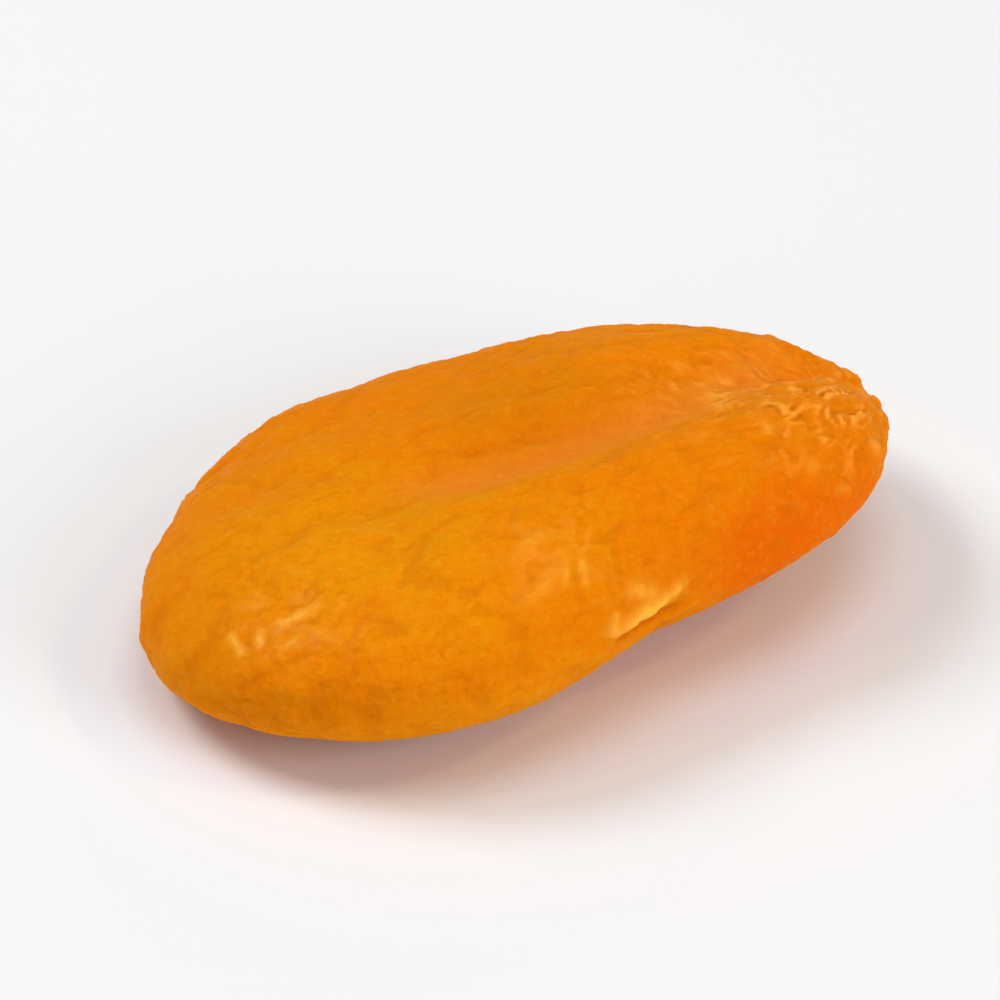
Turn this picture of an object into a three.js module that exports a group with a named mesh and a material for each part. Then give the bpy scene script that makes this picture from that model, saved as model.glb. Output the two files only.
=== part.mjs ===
// A whole dried apricot. The stone and the stalk are gone, and the skin and flesh have shrunk
// together into one flat, plump, leathery pillow.
//
// Millimetres, +Z up. +X runs along the fruit to its stem end, and +Y is across it. The fruit lies
// on a small flat spot of its underside at z = 0, with the middle of its outline over the origin.

import * as THREE from 'three';
import { mergeVertices } from 'three/addons/utils/BufferGeometryUtils.js';

// Driving dimensions of the plain pillow
const LENGTH = 44;                 // tip to stem end
const WIDTH = 30;                  // side to side
const CROWN = 5.2;                 // rise of the top face above the rim's widest line
const BELLY = 5.3;                 // depth of the underside below that line
const FULLNESS = 2.4;              // exponent of the section: 2 is an ellipse, more is a fuller pillow
const RIM_TILT = { along: 0.06, across: -0.135 };  // slopes of the rim line: the -Y side lies higher
const REST_PRESS = 0.2;            // depth of the underside that the fruit's own weight presses flat

// Slow waves of the outline, seen from above: how many, how high, and the angle of one crest
const OUTLINE_WAVES = [
  { count: 3, height: 1.0, crest: -19 },
  { count: 4, height: 0.28, crest: 41 },
  { count: 5, height: 0.15, crest: -43 },
];

// Suture: a long trough in the top face that fades in along +X and runs into the stem end. Its
// middle line sags towards -Y, and its -Y bank is the steeper one.
const SUTURE = {
  depth: 1.5, startX: -14, fullX: -1,
  nearWidth: 2.2, farWidth: 3.2,
  sag: -2.6, sagX: 5, sagSpread: 8,
};

// Stem end: a pinched spot on the rim, and the pleats of skin drawn in to it from all sides
const STEM = {
  x: 21.3, y: -4, dent: 0.55, dentSpread: 2.6,
  pleats: 11, pleatHeight: 0.3, pleatStart: 1.8, pleatFull: 4, pleatEnd: 11,
};

// Low swells and hollows of the two faces: height is outwards, and the spreads are along X and Y
const TOP_SWELLS = [
  { x: -2, y: -8, height: 0.8, spreadX: 14, spreadY: 4 },          // the plump near lobe
  { x: -1, y: 8, height: -0.6, spreadX: 9, spreadY: 5 },           // the sunken far lobe
  { x: -15, y: 1, height: 0.4, spreadX: 5, spreadY: 7 },           // the blunt tip
  { x: 17, y: 0, height: -1.0, spreadX: 7, spreadY: 8 },           // the thin stem end
];
const UNDERSIDE_SWELLS = [
  { x: 5, y: 6, height: -0.8, spreadX: 10, spreadY: 2.6 },         // a shallow crease
  { x: -12, y: -5, height: -0.5, spreadX: 4, spreadY: 3.5 },       // a dimple
  { x: 16, y: -4, height: -0.4, spreadX: 6, spreadY: 6 },          // the thin stem end
  { x: 6, y: -11, height: -0.7, spreadX: 12, spreadY: 5 },         // the lifted near edge
];

// Uneven ripple of the skin: three waves that cross at odd angles, calmer on the rim and below
const RIPPLE = {
  height: 0.12, offTop: 0.35,
  waves: [
    { length: 11, direction: new THREE.Vector3(1, 0.6, 0) },
    { length: 8.5, direction: new THREE.Vector3(0.5, -1, 0.4) },
    { length: 6.5, direction: new THREE.Vector3(-0.2, 1, 1) },
  ],
};

// A face's relief fades in as the skin turns from the rim towards level: the normal's Z at each end
const FACE_FADE = { start: 0.1, full: 0.7 };

// Mesh of the skin
const SKIN_DETAIL = 21;            // cuts of each edge of the first icosahedron
const FACE_SPREAD = 0.16;          // moves rows of the mesh from the rim out over the two faces

const { clamp, degToRad, smoothstep } = THREE.MathUtils;

// 1 at no distance, fading smoothly to nothing over about two spreads
function bell(distance, spread) {
  return Math.exp(-((distance / spread) ** 2));
}

// Distance from the middle of the fruit to its rim, at an angle from +X
function outlineRadius(angle) {
  const halfLength = LENGTH / 2;
  const halfWidth = WIDTH / 2;
  let radius = halfLength * halfWidth;
  radius /= Math.hypot(halfWidth * Math.cos(angle), halfLength * Math.sin(angle));
  for (const wave of OUTLINE_WAVES) {
    radius += wave.height * Math.cos(wave.count * (angle - degToRad(wave.crest)));
  }
  return radius;
}

// The point of the plain pillow that a direction from its middle reaches
function pillowPoint(direction, target) {
  const angle = Math.atan2(direction.y, direction.x);
  const fromPole = Math.acos(clamp(Math.abs(direction.z), 0, 1));
  const turn = fromPole - FACE_SPREAD * Math.sin(2 * fromPole);
  const power = 2 / FULLNESS;
  const reach = outlineRadius(angle) * Math.sin(turn) ** power;
  const rise = Math.max(Math.cos(turn), 0) ** power;
  const x = reach * Math.cos(angle);
  const y = reach * Math.sin(angle);
  const rimLine = RIM_TILT.along * x + RIM_TILT.across * y;
  if (direction.z > 0) {
    return target.set(x, y, rimLine + CROWN * rise);
  }
  // The underside loses the tilt towards its middle, where the fruit lies on it
  return target.set(x, y, rimLine * (1 - rise ** 3) - BELLY * rise);
}

function swelling(point, swells) {
  let height = 0;
  for (const swell of swells) {
    height += swell.height * bell(point.x - swell.x, swell.spreadX) * bell(point.y - swell.y, swell.spreadY);
  }
  return height;
}

function sutureDepth(point) {
  const middle = SUTURE.sag * bell(point.x - SUTURE.sagX, SUTURE.sagSpread);
  const offset = point.y - middle;
  const width = offset < 0 ? SUTURE.nearWidth : SUTURE.farWidth;
  return SUTURE.depth * smoothstep(point.x, SUTURE.startX, SUTURE.fullX) * bell(offset, width);
}

function stemRelief(point) {
  const x = point.x - STEM.x;
  const y = point.y - STEM.y;
  const distance = Math.hypot(x, y);
  const fadeIn = smoothstep(distance, STEM.pleatStart, STEM.pleatFull);
  const fadeOut = 1 - smoothstep(distance, STEM.pleatFull, STEM.pleatEnd);
  const pleat = STEM.pleatHeight * Math.cos(STEM.pleats * Math.atan2(y, x));
  return fadeIn * fadeOut * pleat - STEM.dent * bell(distance, STEM.dentSpread);
}

function ripple(point) {
  const [a, b, c] = RIPPLE.waves.map((wave) => (
    Math.sin((2 * Math.PI * point.dot(wave.direction)) / wave.length)
  ));
  return RIPPLE.height * a * (b + c);
}

// How far the skin stands out from the plain pillow, at a point of it with this outward normal
function relief(point, normal) {
  const onTop = smoothstep(normal.z, FACE_FADE.start, FACE_FADE.full);
  const onUnderside = smoothstep(-normal.z, FACE_FADE.start, FACE_FADE.full);
  const top = swelling(point, TOP_SWELLS) - sutureDepth(point);
  const underside = swelling(point, UNDERSIDE_SWELLS);
  const calm = THREE.MathUtils.lerp(RIPPLE.offTop, 1, onTop);
  return onTop * top + onUnderside * underside + stemRelief(point) + calm * ripple(point);
}

// Presses the lowest part flat, and puts it at z = 0 with the outline's middle over the origin
function settle(geometry) {
  geometry.computeBoundingBox();
  const floor = geometry.boundingBox.min.z + REST_PRESS;
  const position = geometry.attributes.position;
  for (let i = 0; i < position.count; i += 1) {
    position.setZ(i, Math.max(position.getZ(i), floor));
  }
  geometry.computeBoundingBox();
  const middle = geometry.boundingBox.getCenter(new THREE.Vector3());
  geometry.translate(-middle.x, -middle.y, -floor);
}

function fruitGeometry() {
  const sphere = new THREE.IcosahedronGeometry(1, SKIN_DETAIL);
  sphere.deleteAttribute('normal');
  sphere.deleteAttribute('uv');
  const geometry = mergeVertices(sphere);
  const position = geometry.attributes.position;
  const point = new THREE.Vector3();
  for (let i = 0; i < position.count; i += 1) {
    point.fromBufferAttribute(position, i).normalize();
    pillowPoint(point, point);
    position.setXYZ(i, point.x, point.y, point.z);
  }
  geometry.computeVertexNormals();
  const normal = new THREE.Vector3();
  for (let i = 0; i < position.count; i += 1) {
    point.fromBufferAttribute(position, i);
    normal.fromBufferAttribute(geometry.attributes.normal, i);
    point.addScaledVector(normal, relief(point, normal));
    position.setXYZ(i, point.x, point.y, point.z);
  }
  settle(geometry);
  geometry.computeVertexNormals();
  return geometry;
}

const skin = new THREE.MeshStandardMaterial({ color: 0xe38a12, roughness: 0.45, metalness: 0 });
const apricot = new THREE.Mesh(fruitGeometry(), skin);
apricot.name = 'apricot';

const driedApricot = new THREE.Group();
driedApricot.add(apricot);

export default driedApricot;
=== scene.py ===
# A whole dried apricot on a pale studio floor. Metres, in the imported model's frame: +X runs along
# the fruit to its stem end, +Y across it, +Z up, and the fruit lies on its flat spot at z = 0.
import math

import bmesh
import bpy
import numpy as np
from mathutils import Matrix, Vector, noise


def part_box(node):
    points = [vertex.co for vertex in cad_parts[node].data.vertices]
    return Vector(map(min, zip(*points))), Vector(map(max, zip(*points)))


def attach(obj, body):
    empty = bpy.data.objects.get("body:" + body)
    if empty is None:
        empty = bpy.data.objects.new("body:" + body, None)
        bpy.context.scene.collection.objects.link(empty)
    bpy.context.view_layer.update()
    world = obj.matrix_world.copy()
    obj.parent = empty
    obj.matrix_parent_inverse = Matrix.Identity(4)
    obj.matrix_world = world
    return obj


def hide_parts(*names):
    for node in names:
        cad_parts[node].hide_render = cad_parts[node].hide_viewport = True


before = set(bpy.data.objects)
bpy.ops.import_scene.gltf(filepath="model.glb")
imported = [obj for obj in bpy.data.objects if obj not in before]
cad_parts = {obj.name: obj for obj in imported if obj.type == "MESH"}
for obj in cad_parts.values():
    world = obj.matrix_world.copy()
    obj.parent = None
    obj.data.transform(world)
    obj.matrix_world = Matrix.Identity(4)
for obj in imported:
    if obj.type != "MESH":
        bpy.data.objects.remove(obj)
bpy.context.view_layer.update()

MM = 0.001
NODE = "apricot"
low, high = (np.array(corner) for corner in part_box(NODE))
half_length, half_width, half_height = (high - low) / 2

SKIN_CUTS = 3                      # cuts of each edge of the CAD skin, for the fine skin
FACET_ROUNDS = 14                  # rounds of smoothing that take its facets away
SWELL_ROUNDS = 80                  # rounds that leave only the slow swells, which the CAD skin has

# The pinched spot on the rim that the stalk grew from
STEM = np.array([0.965 * half_length, -0.29 * half_width, half_height])


# ---------------------------------------------------------------- forms of the skin, in millimetres

# Parts that are more wrinkled than the rest, and how much more
WRINKLED = [
    {"centre": (17, -5, 8), "spread": 7.5, "strength": 1.0},        # round the stem end
    {"centre": (-18, -6, 8), "spread": 6, "strength": 0.25},        # the blunt tip's near side
    {"centre": (-4.5, -12, 10), "spread": 5, "strength": 0.3},      # the crown of the near lobe
    {"centre": (-2, 6, 9), "spread": 9, "strength": -0.3},          # the far lobe, which is taut
    {"centre": (-10, 14, 2.5), "spread": 7, "strength": 0.7},       # the far flank, below the rim
    {"centre": (6, 13, 2.5), "spread": 7, "strength": 0.7},
]

# Parts with fine pale ticks, which are painted highlights with painted shade between them, and how pale
# the ticks are
TICKED = [
    {"centre": (15.5, -6, 8.8), "spread": 6.5, "strength": 1.35},   # round the stem end
    {"centre": (13, 0, 8.3), "spread": 2.5, "strength": 0.3},       # where the suture runs into it
    {"centre": (-17, -6, 8.5), "spread": 4, "strength": 0.45},      # the blunt tip's near side
    {"centre": (-4, -12, 10.5), "spread": 3.5, "strength": 0.4},    # the crown of the near lobe
]
TICK_HEIGHT = 0.07
GAP_SHADE = 1.1                 # painted shade of the skin between ticks, where 1 is as dark as full valleys

# Layers of the fine relief: how high each is, how large its features are, and the noise's seed
LARGE_CELLS = {"height": 0.11, "size": 1.8, "seed": 1}
SMALL_CELLS = {"height": 0.08, "size": 0.8, "seed": 2}
LONG_CREASES = {"height": 0.12, "size": 2.6, "seed": 9}
SHORT_CREASES = {"height": 0.07, "size": 1.2, "seed": 10}
SOFT_FOLDS = {"height": 0.16, "size": 5, "seed": 4}
GRAIN = {"height": 0.008, "size": 0.42, "seed": 6}

VALLEY_DEPTH = 0.06                # of the fine relief, where its valleys get the whole painted shade
CREST_HEIGHT = 0.05                # of the fine relief, where its crests are as glossy as they get
CREST_GLOSS = 0.6                  # gloss of those crests, where 1 is the gloss of a pale fold

# Folds drawn in to the stem end. In their own terms, in which their sizes are given, the rings round
# it are circles of this radius, and spacing is how many millimetres count as 1 from ring to ring
STEM_RINGS = {"radius": 8, "spacing": 1.9}
STEM_FOLDS = {"height": 0.1, "size": 1, "seed": 7}
STEM_CELLS = {"height": 0.05, "size": 0.6, "seed": 8}

# Lines that run round the rim, in like terms, and how high they are on taut and on wrinkled skin
RIM_RINGS = {"radius": 2.2, "spacing": 0.9}
RIM_LINES = {"taut": 0.02, "wrinkled": 0.11, "seed": 5}

# The middle line of the suture's trough, a parabola in plan: its point nearest the -Y side, how
# fast it bends away, how wide the band along it is (paler skin with a painted sheen), and where the
# band starts, is whole, begins to fade and ends
SUTURE = {
    "x": 4.5, "y": -3.0, "bend": 0.02, "width": 1.6,
    "start": -9, "whole": -3, "fading": 16, "end": 20,
}
SUTURE_CALM = 0.6                  # share of the fine relief that the band's taut skin lacks

# A small dent in the far lobe
DENT = {"centre": (2.4, 1.2, 9.7), "spread": 0.8, "depth": 0.3}

# Single folds: where each starts and ends, how wide it is, how high it stands (a crease lies below
# zero), and how pale its crest is, partly painted highlight (below zero, painted shade darkens a crease)
FOLDS = [
    # The lip on the near rim and its two short branches, pale skin with painted highlights, and the
    # crease under it, with painted shade
    {"start": (-3.3, -14.9, 7.0), "end": (2.3, -14.2, 7.9), "width": 0.42, "height": 0.6, "pale": 2.0},
    {"start": (-3.3, -14.9, 6.9), "end": (-2.5, -14.7, 8.2), "width": 0.45, "height": 0.2, "pale": 1.2},
    {"start": (-1.6, -13.9, 9.0), "end": (0.4, -14.3, 7.9), "width": 0.5, "height": 0.25, "pale": 1.0},
    {"start": (-3.2, -14.7, 6.1), "end": (2.4, -14.2, 6.9), "width": 0.35, "height": -0.35, "pale": -3},
    # Four slanting pleats on the crown of the near lobe, with painted highlights
    {"start": (-7.6, -13.2, 9.5), "end": (-3.3, -11.7, 10.8), "width": 0.6, "height": 0.14, "pale": 0.5},
    {"start": (-7.0, -10.8, 10.7), "end": (-3.4, -9.9, 11.3), "width": 0.6, "height": 0.12, "pale": 0.4},
    {"start": (-4.9, -13.4, 9.8), "end": (-4.0, -11.8, 10.7), "width": 0.27, "height": 0.1, "pale": 1.0},
    {"start": (-3.9, -13.7, 9.6), "end": (-3.0, -12.2, 10.5), "width": 0.27, "height": 0.1, "pale": 1.0},
    # Four short ones on the blunt tip, with painted highlights
    {"start": (-18.2, -5.9, 8.1), "end": (-15.4, -6.6, 9.2), "width": 0.4, "height": 0.12, "pale": 1.2},
    {"start": (-19.6, -3.9, 7.4), "end": (-20.0, -5.7, 7.0), "width": 0.26, "height": 0.1, "pale": 1.4},
    {"start": (-18.3, -5.2, 8.0), "end": (-19.4, -6.3, 7.3), "width": 0.26, "height": 0.1, "pale": 1.4},
    {"start": (-18.7, -7.0, 7.7), "end": (-16.8, -7.6, 8.5), "width": 0.25, "height": 0.08, "pale": 0.7},
    # One on the near side of the stem end, a painted glint, and the pale bottom of the suture, with a
    # painted sheen
    {"start": (12.3, -13.2, 9.1), "end": (13.8, -12.7, 8.6), "width": 0.25, "height": 0.06, "pale": 0.5},
    {"start": (-5.8, -0.7, 8.8), "end": (-0.8, -1.5, 9.0), "width": 0.6, "height": 0.06, "pale": 0.1},
    # The crease along the far side of the suture, darkened with painted shade
    {"start": (-3.5, 1.5, 9), "end": (0, -0.5, 9.3), "width": 0.35, "height": -0.2, "pale": -1.5},
    {"start": (-0.5, -0.3, 9.3), "end": (3.5, -1.4, 9.4), "width": 0.35, "height": -0.2, "pale": -1.5},
]


# ---------------------------------------------------------------- colours, in sRGB

AMBER = (232, 130, 1)
ORANGE = (229, 120, 1)
# Deeper orange, partly painted shade in the grain's hollows and low on the near flank
DEEP_ORANGE = (233, 99, 0)
YELLOW = (231, 141, 2)
LIGHT_YELLOW = (236, 151, 5)
DULL_AMBER_SHADE = (221, 127, 1)
PALE_HIGHLIGHT = (255, 179, 52)              # crests of the single folds and of the grain: paler skin with painted highlights
TICK_HIGHLIGHT = (255, 165, 50)              # painted highlights on the ticks
TROUGH_SHEEN = (235, 133, 40)            # bottom of the suture: paler skin with a painted sheen
SHADE = (212, 110, 2)              # painted shade in shallow valleys
CREASE_SHADE = (190, 84, 2)              # painted shade in deep valleys and creases

# Parts of the skin with a colour of their own, some of them partly painted shade: whole within full
# millimetres of the centre, and gone at none millimetres
COLOUR_ZONES = [
    # The blunt end and the yellowest part of it; the far lobe and the low near side of the blunt tip,
    # darker, partly the skin's colour and partly painted shade
    {"centre": (-12, -5, 9), "full": 3, "none": 17, "strength": 1, "colour": YELLOW},
    {"centre": (-13, -7, 9), "full": 1, "none": 8, "strength": 0.7, "colour": LIGHT_YELLOW},
    {"centre": (3, 2, 9.5), "full": 1, "none": 8, "strength": 1, "colour": DULL_AMBER_SHADE},
    {"centre": (-18, -9, 5.5), "full": 1, "none": 8, "strength": 0.4, "colour": ORANGE},
    # Deeper orange from the lip along the near flank to the stem end, partly the skin's colour and
    # partly painted shade where the flank turns down
    {"centre": (6.5, -14, 7.5), "full": 0.5, "none": 5, "strength": 0.75, "colour": DEEP_ORANGE},
    {"centre": (10, -13.8, 7.5), "full": 0.5, "none": 5, "strength": 0.75, "colour": DEEP_ORANGE},
    {"centre": (14, -12, 7), "full": 0.5, "none": 5, "strength": 0.75, "colour": DEEP_ORANGE},
]


# ---------------------------------------------------------------- studio, in metres, degrees and watts

CAMERA = {"azimuth": -34, "elevation": 35, "distance": 0.56, "frame_width": 0.053}
WARM = (1, 0.75, 0.25)
SOFTBOXES = [
    {"name": "key", "azimuth": -145, "elevation": 50, "distance": 0.6, "size": 0.3, "power": 1.6},
    {"name": "top", "azimuth": 20, "elevation": 80, "distance": 0.7, "size": 0.45, "power": 1.2},
    {"name": "fill", "azimuth": 20, "elevation": 22, "distance": 0.7, "size": 0.4, "power": 2.1},
    {"name": "side", "azimuth": -65, "elevation": 12, "distance": 0.7, "size": 0.4, "power": 0.4},
    # Small warm ones, which pick out the crests
    {"name": "glint", "azimuth": 46, "elevation": 46, "distance": 0.6, "size": 0.08, "power": 0.35,
     "colour": WARM},
    {"name": "low", "azimuth": 128, "elevation": 23, "distance": 0.6, "size": 0.06, "power": 0.12,
     "colour": WARM},
    {"name": "spark", "azimuth": -110, "elevation": 60, "distance": 0.6, "size": 0.06, "power": 0.2,
     "colour": WARM},
]
WORLD = {"colour": (0.95, 0.97, 1, 1), "strength": 0.25}
FLOOR = {"reach": 1.5, "colour": (0.87, 0.9, 0.96, 1), "roughness": 0.7}


# ---------------------------------------------------------------- numeric helpers

def smoothstep(low_edge, high_edge, value):
    t = np.clip((value - low_edge) / (high_edge - low_edge), 0, 1)
    return t * t * (3 - 2 * t)


def bell(distance, spread):
    return np.exp(-(distance / spread) ** 2)


def distance_to(points, place):
    return np.linalg.norm(points - place, axis=1)


def place_on_segment(points, start, end):
    """How far along the segment each point is, from 0 to 1, and how far off it."""
    along = end - start
    t = np.clip((points - start) @ along / (along @ along), 0, 1)
    return t, np.linalg.norm(points - start - t[:, None] * along, axis=1)


def facing_up(normals, start=0.2, full=0.7):
    """0 where the normal's Z is at most start, rising to 1 where it is at least full."""
    return smoothstep(start, full, normals[:, 2])


# ---------------------------------------------------------------- patterns made of noise

def field(points, size, seed):
    """Smooth noise from -1 to 1 at each point, with features about size across."""
    shift = Vector((17.3 * seed, -9.1 * seed, 5.7 * seed))
    return np.array([noise.noise(Vector(point) + shift) for point in points / size])


def folds(points, size, seed):
    """Rounded folds from 0 to 1 with sharp valleys between them."""
    return np.minimum(np.abs(field(points, size, seed)) * 2.2, 1)


def ridges(points, size, seed):
    """Thin winding ridges: 1 along their tops, and 0 away from them."""
    return 1 - smoothstep(0, 0.35, np.abs(field(points, size, seed)))


def pillows(points, size, seed):
    """Irregular cells about size across: 0 along their edges, rising to 1 over their middles."""
    shift = Vector((-3.1 * seed, 7.7 * seed, 11.9 * seed))
    rise = np.empty(len(points))
    for i, point in enumerate(points / size):
        nearest, second = noise.voronoi(Vector(point) + shift)[0][:2]
        rise[i] = second - nearest
    return smoothstep(0, 0.45, rise)


def layer(pattern, points, settings, unit=MM):
    """One layer of the fine relief, in millimetres, of a pattern such as folds or pillows."""
    return settings["height"] * pattern(points, settings["size"] * unit, settings["seed"])


def warped(points, reach, size, seed):
    """The points moved about by noise, so that what is laid over them runs unevenly."""
    shifts = [field(points, size, seed + k) for k in range(3)]
    return points + reach * np.stack(shifts, axis=1)


# ---------------------------------------------------------------- the skin as a fine mesh

def fine_copy(node):
    """The node's skin as a new mesh, each triangle cut into smaller ones."""
    bm = bmesh.new()
    bm.from_mesh(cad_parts[node].data)
    bmesh.ops.remove_doubles(bm, verts=bm.verts, dist=1e-6)
    bmesh.ops.subdivide_edges(bm, edges=bm.edges, cuts=SKIN_CUTS, use_grid_fill=True)
    bmesh.ops.triangulate(bm, faces=bm.faces)
    mesh = bpy.data.meshes.new("dried_apricot")
    bm.to_mesh(mesh)
    bm.free()
    for polygon in mesh.polygons:
        polygon.use_smooth = True
    return mesh


def read_points(mesh):
    flat = np.empty(len(mesh.vertices) * 3)
    mesh.vertices.foreach_get("co", flat)
    return flat.reshape(-1, 3)


def write_points(mesh, points):
    mesh.vertices.foreach_set("co", points.ravel())
    mesh.update()


def read_normals(mesh):
    flat = np.empty(len(mesh.vertices) * 3)
    mesh.vertex_normals.foreach_get("vector", flat)
    return flat.reshape(-1, 3)


def smoother(mesh):
    """A function that averages any values over each point's neighbours, for some rounds."""
    pairs = np.empty(len(mesh.edges) * 2, dtype=np.int32)
    mesh.edges.foreach_get("vertices", pairs)
    first, second = pairs.reshape(-1, 2).T
    count = np.bincount(pairs, minlength=len(mesh.vertices))

    def smooth(values, rounds):
        values = values.copy()
        columns = values.reshape(len(count), -1)
        for _ in range(rounds):
            for k in range(columns.shape[1]):
                column = columns[:, k]
                total = np.bincount(first, column[second], len(count))
                total += np.bincount(second, column[first], len(count))
                columns[:, k] = 0.5 * column + 0.5 * total / count
        return values

    return smooth


def add_values(mesh, name, values):
    attribute = mesh.attributes.new(name, "FLOAT", "POINT")
    attribute.data.foreach_set("value", values)


# ---------------------------------------------------------------- zones of the skin

def in_zones(points, zones):
    amount = np.zeros(len(points))
    for zone in zones:
        reach = distance_to(points, np.array(zone["centre"]) * MM)
        amount += zone["strength"] * bell(reach, zone["spread"] * MM)
    return amount


def wrinkledness(points):
    """How wrinkled the skin is, from 0 where it is taut to about 1."""
    amount = 0.45 + 0.3 * field(points, 7 * MM, seed=3)
    return np.clip(amount + in_zones(points, WRINKLED), 0.05, 1.2)


def near_stem(points):
    """How far the skin is drawn in to the stem end: most round it, but not in its very middle."""
    reach = distance_to(points, STEM)
    return smoothstep(0.6 * MM, 2.5 * MM, reach) * (1 - smoothstep(4 * MM, 11 * MM, reach))


def polar(angle, distance, rings):
    """Points in polar terms, so that the patterns laid over them follow rings or run across them."""
    radius = rings["radius"]
    across = distance / (rings["spacing"] * MM)
    return np.stack([radius * np.cos(angle), radius * np.sin(angle), across], axis=1)


def round_stem(points):
    angle = np.arctan2(points[:, 1] - STEM[1], points[:, 0] - STEM[0])
    return polar(angle, distance_to(points, STEM), STEM_RINGS)


def on_suture(points, normals):
    """The band of skin along the bottom of the trough: 1 along its middle, on the top face only."""
    x, y = points[:, 0] / MM, points[:, 1] / MM
    middle = SUTURE["y"] + SUTURE["bend"] * (x - SUTURE["x"]) ** 2
    stretch = smoothstep(SUTURE["start"], SUTURE["whole"], x)
    stretch *= 1 - smoothstep(SUTURE["fading"], SUTURE["end"], x)
    return stretch * bell(y - middle, SUTURE["width"]) * facing_up(normals, 0.3, 0.8)


def tick_highlights_and_gap_shade(points, normals):
    """Fine crests of shrunken skin, in clumps: how strong the painted highlight on them is, and how
    strong the painted shade in the gaps between is.
    """
    bent = warped(points, reach=0.7 * MM, size=1.8 * MM, seed=21)
    drawn_out = round_stem(bent) * np.array([1, 1, 0.6])
    crests = 0.8 * ridges(drawn_out, 0.6, seed=27) + 0.45 * ridges(bent, 0.7 * MM, seed=29)
    crests = smoothstep(0.25, 0.9, crests)
    clumps = smoothstep(-0.15, 0.3, field(points, 1.3 * MM, seed=28))
    amount = in_zones(points, TICKED) * facing_up(normals) * (0.1 + 0.9 * clumps)
    return amount * crests, amount * (1 - crests)


def on_folds(points):
    """For each single fold, 1 along its middle, fading out to its sides and towards its two ends."""
    bent = warped(points, reach=0.25 * MM, size=1.2 * MM, seed=31)
    uneven = 0.85 + 0.35 * field(points, 0.6 * MM, seed=34)
    for fold in FOLDS:
        start, end = (np.array(fold[key]) * MM for key in ("start", "end"))
        t, distance = place_on_segment(bent, start, end)
        yield fold, uneven * bell(distance, fold["width"] * MM) * (4 * t * (1 - t)) ** 0.7


# ---------------------------------------------------------------- relief of the skin

def fine_relief(points, normals):
    """How far the wrinkles stand out of the smooth skin at each point, in metres."""
    bent = warped(points, reach=0.8 * MM, size=3 * MM, seed=11)
    along = bent * np.array([0.5, 1, 1])
    wrinkled = wrinkledness(points)

    crumple = layer(pillows, along, LARGE_CELLS) + layer(pillows, bent, SMALL_CELLS)
    creases = layer(folds, along, LONG_CREASES) + layer(folds, along, SHORT_CREASES)
    relief = wrinkled * crumple
    relief += (0.5 + 0.5 * wrinkled) * (layer(folds, bent, SOFT_FOLDS) + creases)

    around = np.arctan2(points[:, 1] / half_width, points[:, 0] / half_length)
    lines = folds(polar(around, bent[:, 2], RIM_RINGS), 1, RIM_LINES["seed"])
    line_height = RIM_LINES["taut"] + (RIM_LINES["wrinkled"] - RIM_LINES["taut"]) * wrinkled
    rim = 1 - smoothstep(0.15, 0.7, np.abs(normals[:, 2]))
    relief += line_height * rim * lines

    rings = round_stem(bent)
    stem = layer(folds, rings, STEM_FOLDS, 1) + layer(pillows, rings, STEM_CELLS, 1)
    relief += near_stem(points) * (0.35 + 0.65 * facing_up(normals, 0.1, 0.6)) * stem
    relief += layer(field, points, GRAIN)
    return relief * MM


def make_fruit():
    """The dressed skin. Its points carry the values that the material paints by."""
    mesh = fine_copy(NODE)
    smooth = smoother(mesh)
    points = smooth(read_points(mesh), FACET_ROUNDS)
    write_points(mesh, points)
    normals = read_normals(mesh)

    relief = fine_relief(points, normals)
    relief -= smooth(relief, SWELL_ROUNDS)
    suture = on_suture(points, normals)
    relief *= 1 - SUTURE_CALM * suture * (1 - near_stem(points))
    # Painted shade in the valleys of the fine relief; gloss on its crests
    valley_shade = np.clip(-relief / (VALLEY_DEPTH * MM), 0, 1)
    gloss = CREST_GLOSS * np.clip(relief / (CREST_HEIGHT * MM), 0, 1)
    gloss *= smoothstep(0.4, 1.0, wrinkledness(points)) * facing_up(normals)

    # Ticks: relief, painted highlights on their crests and painted shade in the gaps
    ticks, gaps = tick_highlights_and_gap_shade(points, normals)
    relief += TICK_HEIGHT * MM * (ticks - smooth(ticks, SWELL_ROUNDS))
    # Painted shade between the ticks
    valley_shade += GAP_SHADE * gaps
    pale = np.zeros(len(points))
    # Fold crests get painted highlights, dark creases painted shade
    for fold, here in on_folds(points):
        relief += fold["height"] * MM * here
        pale = np.maximum(pale, fold["pale"] * here)
        valley_shade = np.maximum(valley_shade, -fold["pale"] * here)
    dent = bell(distance_to(points, np.array(DENT["centre"]) * MM), DENT["spread"] * MM)
    relief -= DENT["depth"] * MM * dent
    # Painted shade in the dent
    valley_shade = np.maximum(valley_shade, dent)

    add_values(mesh, "valley_shade", valley_shade)
    add_values(mesh, "ticks", ticks)
    add_values(mesh, "pale", pale)
    add_values(mesh, "gloss", np.maximum(gloss, np.maximum(ticks, pale)))
    add_values(mesh, "suture", suture)

    # The flat spot stays flat: the relief fades out just above the floor
    off_floor = smoothstep(0.05 * MM, 0.6 * MM, points[:, 2])
    points = points + normals * (relief * off_floor)[:, None]
    points[:, 2] = np.maximum(points[:, 2], 0)
    write_points(mesh, points)
    return bpy.data.objects.new("dried_apricot", mesh)


# ---------------------------------------------------------------- material

def linear(colour):
    """A colour given in sRGB, 0 to 255, as linear RGBA."""
    def one(value):
        value /= 255
        return value / 12.92 if value <= 0.04045 else ((value + 0.055) / 1.055) ** 2.4
    return tuple(one(value) for value in colour) + (1,)


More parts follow.
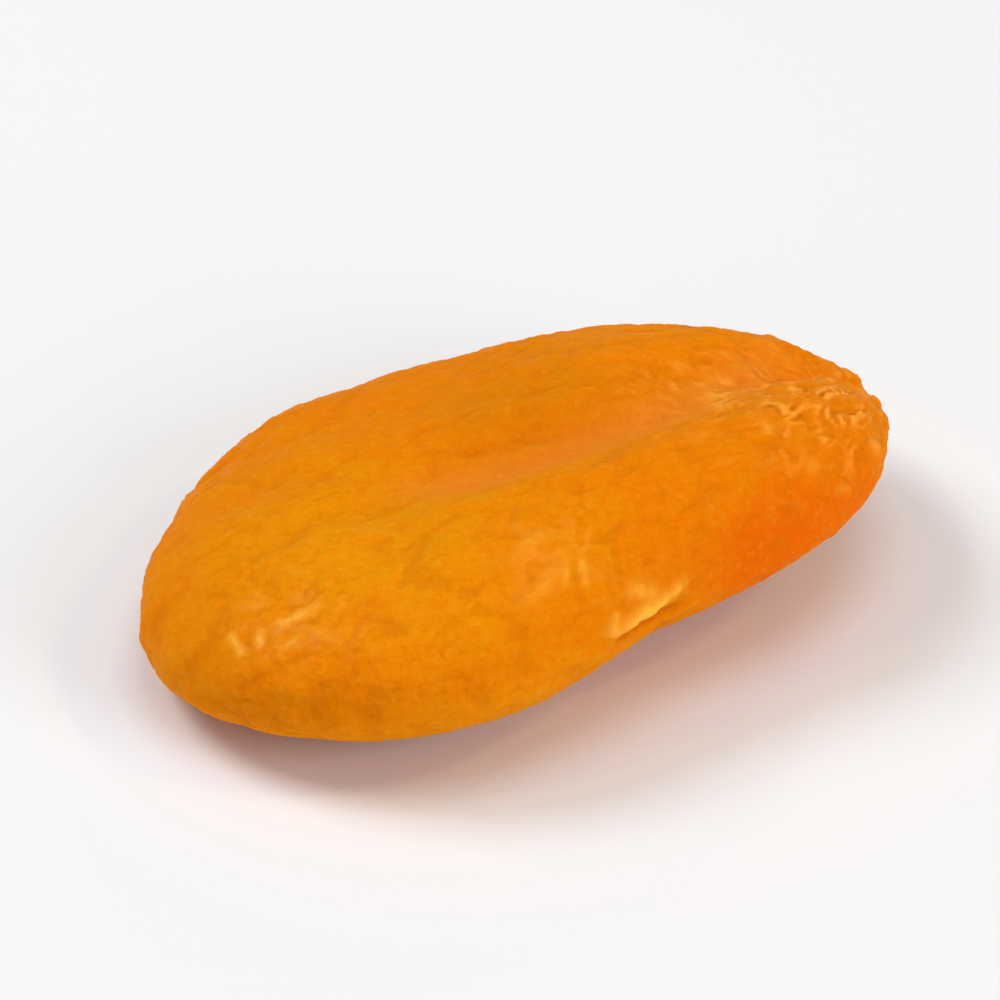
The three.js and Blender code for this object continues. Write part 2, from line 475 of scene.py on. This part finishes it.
class Nodes:
    """A short way to add nodes and link them."""

    def __init__(self, tree):
        self.tree = tree

    def add(self, kind, settings=None, **inputs):
        node = self.tree.nodes.new(kind)
        for name, value in (settings or {}).items():
            setattr(node, name, value)
        for name, value in inputs.items():
            self.set(node.inputs[name.replace("_", " ")], value)
        return node

    def set(self, socket, value):
        if isinstance(value, bpy.types.NodeSocket):
            self.tree.links.new(value, socket)
        else:
            socket.default_value = value

    def math(self, operation, first, second):
        node = self.add("ShaderNodeMath", {"operation": operation})
        self.set(node.inputs[0], first)
        self.set(node.inputs[1], second)
        return node.outputs[0]

    def ramp(self, value, start, end, to_start, to_end):
        """Goes smoothly from to_start to to_end while the value goes from start to end."""
        node = self.add("ShaderNodeMapRange", {"interpolation_type": "SMOOTHSTEP"})
        for name, setting in (("Value", value), ("From Min", start), ("From Max", end),
                              ("To Min", to_start), ("To Max", to_end)):
            self.set(node.inputs[name], setting)
        return node.outputs["Result"]

    def mix(self, factor, first, second):
        """From the first colour to the second, which is given in sRGB."""
        node = self.add("ShaderNodeMix", {"data_type": "RGBA"})
        self.set(node.inputs["Factor"], factor)
        self.set(node.inputs[6], first)
        self.set(node.inputs[7], linear(second))
        return node.outputs[2]

    def noise(self, vector, size, detail, roughness=0.5):
        node = self.add("ShaderNodeTexNoise", Vector=vector, Scale=1 / size, Detail=detail,
                        Roughness=roughness)
        return node.outputs["Fac"]

    def attribute(self, name):
        return self.add("ShaderNodeAttribute", {"attribute_name": name}).outputs["Fac"]

    def near(self, place, centre, full, none):
        """1 within full millimetres of the centre, falling unevenly to 0 at none millimetres."""
        node = self.add("ShaderNodeVectorMath", {"operation": "DISTANCE"})
        self.set(node.inputs[0], place)
        self.set(node.inputs[1], [value * MM for value in centre])
        uneven = self.ramp(self.noise(place, 5 * MM, detail=3), 0.3, 0.7, 0.7, 1.3)
        return self.ramp(self.math("MULTIPLY", node.outputs["Value"], uneven), full * MM, none * MM, 1, 0)


def skin_colour(n, place, fine):
    """Blotches and broad zones first, some partly painted shade, then freckles, then painted shade in the
    hollows and painted highlights on the crests, and the suture's paler skin with a painted sheen.
    """
    blotches = n.ramp(n.noise(place, 12 * MM, detail=3), 0.35, 0.65, 0, 0.35)
    colour = n.mix(blotches, linear(AMBER), ORANGE)
    for zone in COLOUR_ZONES:
        here = n.near(place, zone["centre"], zone["full"], zone["none"])
        colour = n.mix(n.math("MULTIPLY", here, zone["strength"]), colour, zone["colour"])
    freckles = n.noise(place, 2.2 * MM, detail=4, roughness=0.6)
    colour = n.mix(n.ramp(freckles, 0.45, 0.75, 0, 0.25), colour, ORANGE)
    # Painted shade in the hollows of the grain and painted highlights on its tops
    colour = n.mix(n.ramp(fine, 0.5, 0.3, 0, 0.35), colour, DEEP_ORANGE)
    colour = n.mix(n.ramp(fine, 0.5, 0.75, 0, 0.2), colour, PALE_HIGHLIGHT)

    # Painted shade in valleys, between ticks, in dark creases and in the dent
    valley_shade = n.attribute("valley_shade")
    colour = n.mix(n.ramp(valley_shade, 0, 1, 0, 0.3), colour, SHADE)
    colour = n.mix(n.ramp(valley_shade, 0.7, 3, 0, 0.8), colour, CREASE_SHADE)
    # Paler skin and a painted sheen along the suture, painted highlights on the ticks and fold crests
    for name, strength, paint in (("suture", 0.65, TROUGH_SHEEN), ("ticks", 0.85, TICK_HIGHLIGHT), ("pale", 0.7, PALE_HIGHLIGHT)):
        colour = n.mix(n.math("MULTIPLY", n.attribute(name), strength), colour, paint)
    return colour


def skin_grain(n, place, fine):
    """The finest grain as a bumped normal: thin ridges about 1 mm apart, and specks half that size."""
    ridged = n.add("ShaderNodeTexNoise", {"noise_type": "RIDGED_MULTIFRACTAL"}, Vector=place,
                   Scale=1 / (1.1 * MM), Detail=3, Roughness=0.6, Lacunarity=2.2, Offset=0.9, Gain=1.5,
                   Distortion=0.8)
    grain = n.math("ADD", n.math("MULTIPLY", ridged.outputs["Fac"], 0.35), fine)
    return n.add("ShaderNodeBump", Height=grain, Strength=1.0, Distance=0.11 * MM).outputs["Normal"]


def skin_material():
    material = bpy.data.materials.new("apricot_skin")
    material.use_nodes = True
    tree = material.node_tree
    tree.nodes.clear()
    n = Nodes(tree)
    place = n.add("ShaderNodeTexCoord").outputs["Object"]
    fine = n.noise(place, 0.45 * MM, detail=5, roughness=0.65)
    gloss = n.attribute("gloss")
    roughness = n.ramp(n.noise(place, 1.1 * MM, detail=4), 0.3, 0.7, 0.5, 0.65)
    roughness = n.math("SUBTRACT", roughness, n.math("MULTIPLY", gloss, 0.12))

    shader = n.add(
        "ShaderNodeBsdfPrincipled", Base_Color=skin_colour(n, place, fine), Roughness=roughness,
        IOR=1.45, Specular_IOR_Level=0.02,
        Subsurface_Weight=0.5, Subsurface_Radius=(1.0, 0.3, 0.08), Subsurface_Scale=0.8 * MM,
        Coat_Weight=n.ramp(gloss, 0, 1, 0, 0.11), Coat_Roughness=0.2, Normal=skin_grain(n, place, fine))
    output = n.add("ShaderNodeOutputMaterial")
    tree.links.new(shader.outputs["BSDF"], output.inputs["Surface"])
    return material


def plain_material(name, colour, roughness):
    material = bpy.data.materials.new(name)
    material.use_nodes = True
    shader = material.node_tree.nodes["Principled BSDF"]
    shader.inputs["Base Color"].default_value = colour
    shader.inputs["Roughness"].default_value = roughness
    return material


# ---------------------------------------------------------------- studio

def direction(azimuth, elevation):
    """From the fruit towards a viewer; azimuth 0 is in front of it, at -Y."""
    a, e = math.radians(azimuth), math.radians(elevation)
    return Vector((math.sin(a) * math.cos(e), -math.cos(a) * math.cos(e), math.sin(e)))


def aim(thing, target, azimuth, elevation, distance):
    """Puts the thing this far from the target, that way, and turns it to face the target."""
    offset = distance * direction(azimuth, elevation)
    thing.location = target + offset
    thing.rotation_euler = offset.to_track_quat("Z", "Y").to_euler()


def add_camera(target):
    camera = bpy.data.objects.new("camera", bpy.data.cameras.new("camera"))
    bpy.context.scene.collection.objects.link(camera)
    camera.data.lens = camera.data.sensor_width * CAMERA["distance"] / CAMERA["frame_width"]
    camera.data.clip_start = 0.01
    aim(camera, target, CAMERA["azimuth"], CAMERA["elevation"], CAMERA["distance"])
    bpy.context.scene.camera = camera


def add_softbox(target, name, azimuth, elevation, distance, size, power, colour=(1, 1, 1)):
    light = bpy.data.lights.new(name, "AREA")
    light.shape = "DISK"
    light.size = size
    light.energy = power
    light.color = colour
    box = bpy.data.objects.new(name, light)
    bpy.context.scene.collection.objects.link(box)
    aim(box, target, azimuth, elevation, distance)


def add_floor():
    mesh = bpy.data.meshes.new("floor")
    reach = FLOOR["reach"]
    corners = [(-reach, -reach, 0), (reach, -reach, 0), (reach, reach, 0), (-reach, reach, 0)]
    mesh.from_pydata(corners, [], [(0, 1, 2, 3)])
    mesh.materials.append(plain_material("floor", FLOOR["colour"], FLOOR["roughness"]))
    floor = bpy.data.objects.new("floor", mesh)
    bpy.context.scene.collection.objects.link(floor)


def add_world():
    world = bpy.data.worlds.new("studio")
    world.use_nodes = True
    background = world.node_tree.nodes["Background"]
    background.inputs["Color"].default_value = WORLD["colour"]
    background.inputs["Strength"].default_value = WORLD["strength"]
    bpy.context.scene.world = world


# ---------------------------------------------------------------- the scene

middle = Vector((0, 0, half_height))
add_camera(middle)
add_world()
add_floor()
for softbox in SOFTBOXES:
    add_softbox(middle, **softbox)
bpy.context.scene.view_settings.view_transform = "Standard"

fruit = make_fruit()
fruit.data.materials.append(skin_material())
bpy.context.scene.collection.objects.link(fruit)
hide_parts(NODE)
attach(fruit, "root")
